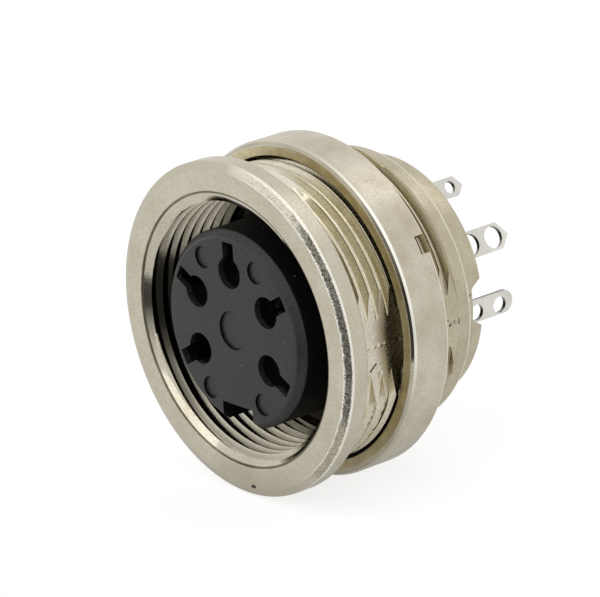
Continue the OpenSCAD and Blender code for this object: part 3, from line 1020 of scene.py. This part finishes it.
# Darker, warmer copy of the plating on the neck, collar and flats behind the nut: painted shade
# and a painted warm reflection; its dark marks are real pits
rear_plated = plated_finish("rear_nickel", colour(197, 190, 167), colour(184, 176, 151),
                            colour(124, 111, 80), 0.34, 0.008, [COLLAR_PIT] + FLASH_PITS,
                            cloud=900.0)
# Painted highlight along the neck's rear edge
neck_edge_highlight = plated_finish("neck_edge_painted_highlight", colour(240, 235, 220), colour(214, 208, 190),
                          NICKEL_STAIN, 0.42, 0.003, cloud=700.0)
nut_plated = plated_finish("nut_nickel", colour(213, 207, 191), colour(192, 184, 164),
                           NICKEL_STAIN, 0.33, 0.008, cloud=520.0)
# Painted shadow in the nut's inner front chamfer
nut_lip_shadow = plated_finish("nut_lip_shadow", colour(30, 26, 20), colour(20, 17, 12),
                          colour(10, 8, 6), 0.5, 0.01)
# Warm yellow-brown tint on the nut's front face and rear chamfer: an oily film and a painted
# reflection of the brown thread
nut_front = plated_finish("nut_front_face", colour(217, 207, 172), colour(192, 178, 140),
                          colour(84, 70, 42), 0.38, 0.004, cloud=1100.0)
nut_bore = plated_finish("nut_bore", colour(168, 158, 132), colour(132, 122, 98),
                         colour(70, 60, 40), 0.4, 0.004)
# Polished outer chamfer of the nut; its base, darker than the plating, is painted shade
nut_edge = plated_finish("nut_polished_edge", colour(190, 184, 168), colour(174, 168, 152),
                         NICKEL_STAIN, 0.1, 0.002)
# Painted highlight on the nut's edges, read from the vertex attribute
nut_edge_highlight = plated_finish("nut_edge_painted_highlight", NICKEL_LIGHT, NICKEL_DARK, NICKEL_STAIN, 0.3, 0.003,
                          groove_dirt=0.1, speck=0.1)
# Darker on the mouth's torn lip, and on the web deep in the bore where it is painted shade
dark_edge = plated_finish("mouth_edge_line", colour(140, 134, 116), colour(104, 98, 82),
                          colour(70, 64, 52), 0.4, 0.01)
as_cast = as_cast_finish("as_cast_chamfer")
black_moulding = moulded_finish("black_moulding", colour(47, 47, 47), colour(31, 31, 31), 0.4,
                                flecks=0.6)
# Painted highlight along the rim of the post's front
post_rim_highlight = moulded_finish("post_rim_painted_highlight", colour(84, 84, 82), colour(58, 58, 57), 0.3)
# Painted shade: darker copy of the moulding on the cavity walls, the marks' sides and the post's
# side
painted_shade_moulding = moulded_finish("painted_shade_moulding", colour(10, 10, 11), colour(6, 6, 7), 0.55, 0.2)
carrier_moulding = moulded_finish("carrier_moulding", colour(66, 64, 60), colour(52, 50, 48), 0.5)
tag_plated = plated_finish("tinned_tag", colour(232, 230, 223), colour(212, 210, 202),
                           colour(150, 146, 136), 0.24, 0.006)
tag_edge = plated_finish("tag_cut_edge", colour(150, 147, 138), colour(112, 109, 102),
                         colour(60, 57, 52), 0.3, 0.006)
spring_steel = plated_finish("spring_steel", colour(176, 175, 173), colour(160, 159, 158),
                             colour(90, 86, 80), 0.28, 0.004)

shell_body = plated_shell(plated, as_cast, thread_plated, mouth_plated, rear_plated, dark_edge,
                          flat_plated, neck_edge_highlight)
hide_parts("shell")
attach(shell_body, "receptacle")

nut_body = slotted_nut(nut_plated, nut_lip_shadow, nut_front, nut_edge, nut_edge_highlight, nut_bore)
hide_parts("ring_nut")
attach(nut_body, "nut")

insert_body = keyed_insert(black_moulding, painted_shade_moulding, post_rim_highlight)
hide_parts("socket_insert")
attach(insert_body, "receptacle")

dress(soften(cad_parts["contact_carrier"], 0.04), carrier_moulding)
dress(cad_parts["retaining_ring"], spring_steel)
for number in range(1, len(CONTACT_CLOCKS) + 1):
    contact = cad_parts[f"contact_{number}"]
    dress(soften(contact, 0.03), tag_plated, tag_edge)
    sort_tag_edges(contact)


def white_floor():
    """Pale floor that shows white, keeps the soft shadow and ends a little before the mouth."""
    bm = bmesh.new()
    corners = ((-FLOOR_SIDE, FLOOR_FRONT), (FLOOR_SIDE, FLOOR_FRONT),
               (FLOOR_SIDE, FLOOR_BACK), (-FLOOR_SIDE, FLOOR_BACK))
    bm.faces.new([bm.verts.new(Vector((x, y, FLOOR_Z)) * MM) for x, y in corners])
    floor = finish_mesh(bm, "floor")
    material = bpy.data.materials.new("pale_floor")
    material.use_nodes = True
    tree = material.node_tree
    shader = tree.nodes["Principled BSDF"]
    shader.inputs["Base Color"].default_value = (0.4, 0.4, 0.4, 1)
    shader.inputs["Roughness"].default_value = 0.9
    rays = place(tree, "ShaderNodeLightPath")
    where = place(tree, "ShaderNodeTexCoord")
    under_part = Vector((0, 4, FLOOR_Z)) * MM
    spread = place(tree, "ShaderNodeVectorMath", {1: under_part}, operation="DISTANCE")
    tree.links.new(where.outputs["Object"], spread.inputs[0])
    # Painted shadow: as seen in the metal, the floor darkens near the part
    under = ramp_value(tree, spread.outputs["Value"], *FLOOR_SHADE)
    mirrored = maths(tree, "MULTIPLY", rays.outputs["Is Glossy Ray"], under)
    seen = maths(tree, "ADD", rays.outputs["Is Camera Ray"], mirrored)
    seen = maths(tree, "ADD", seen, rays.outputs["Is Transmission Ray"], clamp=True)
    shader.inputs["Emission Color"].default_value = (1, 1, 1, 1)
    shown = maths(tree, "MULTIPLY", seen, FLOOR_SHOWN)
    tree.links.new(shown, shader.inputs["Emission Strength"])
    floor.data.materials.append(material)


def white_room():
    """World like a white tent, seen in the metal too, with a dark opening before the mouth."""
    world = bpy.data.worlds.new("white_room")
    bpy.context.scene.world = world
    world.use_nodes = True
    tree = world.node_tree
    sky = tree.nodes["Background"]
    rays = place(tree, "ShaderNodeLightPath")
    seen = maths(tree, "ADD", rays.outputs["Is Camera Ray"], rays.outputs["Is Glossy Ray"])
    seen = maths(tree, "ADD", seen, rays.outputs["Is Transmission Ray"], clamp=True)
    level = ramp_value(tree, seen, 0, 1, ROOM_LIGHT, 1.0)
    where = place(tree, "ShaderNodeTexCoord").outputs["Generated"]
    edge = place(tree, "ShaderNodeVectorMath", {1: OPENING_TOP}, operation="DOT_PRODUCT")
    facing = place(tree, "ShaderNodeSeparateXYZ")
    for node in (edge, facing):
        tree.links.new(where, node.inputs[0])
    shade = ramp_value(tree, edge.outputs["Value"], *OPENING_EDGE)
    for axis, limits in (("X", OPENING_RIGHT), ("Y", OPENING_FRONT)):
        shade = maths(tree, "MULTIPLY", shade, ramp_value(tree, facing.outputs[axis], *limits))
    kept = maths(tree, "SUBTRACT", 1.0, rays.outputs["Is Camera Ray"])
    wall = maths(tree, "SUBTRACT", 1.0, maths(tree, "MULTIPLY", shade, kept))
    sky.inputs["Color"].default_value = (1, 1, 1, 1)
    tree.links.new(maths(tree, "MULTIPLY", level, wall), sky.inputs["Strength"])


def softbox(name, place_mm, size_mm, power, roll=0.0):
    """Soft lamp aimed at the middle of the part."""
    lamp = bpy.data.lights.new(name, "AREA")
    lamp.shape = "RECTANGLE"
    lamp.size, lamp.size_y = size_mm[0] * MM, size_mm[1] * MM
    lamp.energy = power
    holder = bpy.data.objects.new(name, lamp)
    holder.location = Vector(place_mm) * MM
    aim = (Vector((0, 4, 0)) * MM - holder.location).to_track_quat("-Z", "Y").to_matrix()
    holder.rotation_euler = (aim @ Matrix.Rotation(math.radians(roll), 3, "Z")).to_euler()
    bpy.context.scene.collection.objects.link(holder)


def photo_camera():
    """Camera at the photograph's viewing angle."""
    a, e = CAMERA_AZIMUTH, CAMERA_ELEVATION
    back = Vector((math.sin(a) * math.cos(e), -math.cos(a) * math.cos(e), math.sin(e)))
    right = Vector((math.cos(a), math.sin(a), 0))
    up = back.cross(right)
    c, s = math.cos(CAMERA_ROLL), math.sin(CAMERA_ROLL)
    right, up = right * c + up * s, up * c - right * s
    data = bpy.data.cameras.new("photo_camera")
    data.sensor_width = 36
    data.sensor_fit = "HORIZONTAL"
    data.lens = CAMERA_LENS
    data.clip_start, data.clip_end = 0.005, 10
    camera = bpy.data.objects.new("photo_camera", data)
    bpy.context.scene.collection.objects.link(camera)
    axes = Matrix((right, up, back)).transposed().to_4x4()
    camera.matrix_world = Matrix.Translation(CAMERA_AIM + back * CAMERA_DISTANCE) @ axes
    bpy.context.scene.camera = camera


white_floor()
white_room()
softbox("key_softbox", place_mm=(22, -224, 227), size_mm=(340, 160), power=0.12, roll=-27)
softbox("rear_softbox", place_mm=(17, 183, 237), size_mm=(130, 130), power=0.03)
photo_camera()
bpy.context.scene.view_settings.view_transform = "Standard"
